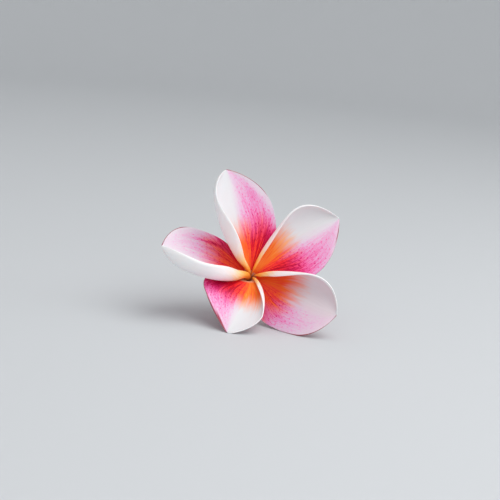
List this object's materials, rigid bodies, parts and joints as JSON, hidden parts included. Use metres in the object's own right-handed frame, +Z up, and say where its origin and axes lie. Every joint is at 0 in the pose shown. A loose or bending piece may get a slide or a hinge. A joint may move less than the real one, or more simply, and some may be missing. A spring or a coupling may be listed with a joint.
{
  "type": "frangipani flower",
  "caption": "Frangipani flower as picked, lying on its petals and stalk, with a pinwheel of overlapping white, pink and orange petals.",
  "frame": {"origin": "on the surface that the flower lies on, below the middle of its box", "axes": "+Z up, -Y towards where the flower's face looks, +X to the right of someone who looks into the face"},
  "size_m": [0.0754, 0.0505, 0.0627],
  "materials": {
    "petal": "satin",
    "tube": "satin",
    "calyx": "satin",
    "stalk": "satin",
    "anthers": "matte",
    "pistil": "matte"
  },
  "bodies": {
    "root": {"petal_1": "petal", "petal_2": "petal", "petal_3": "petal", "petal_4": "petal", "petal_5": "petal", "corolla_tube": "tube", "anthers": "anthers", "pistil": "pistil", "calyx": "calyx", "stalk": "stalk"}
  },
  "joints": []
}
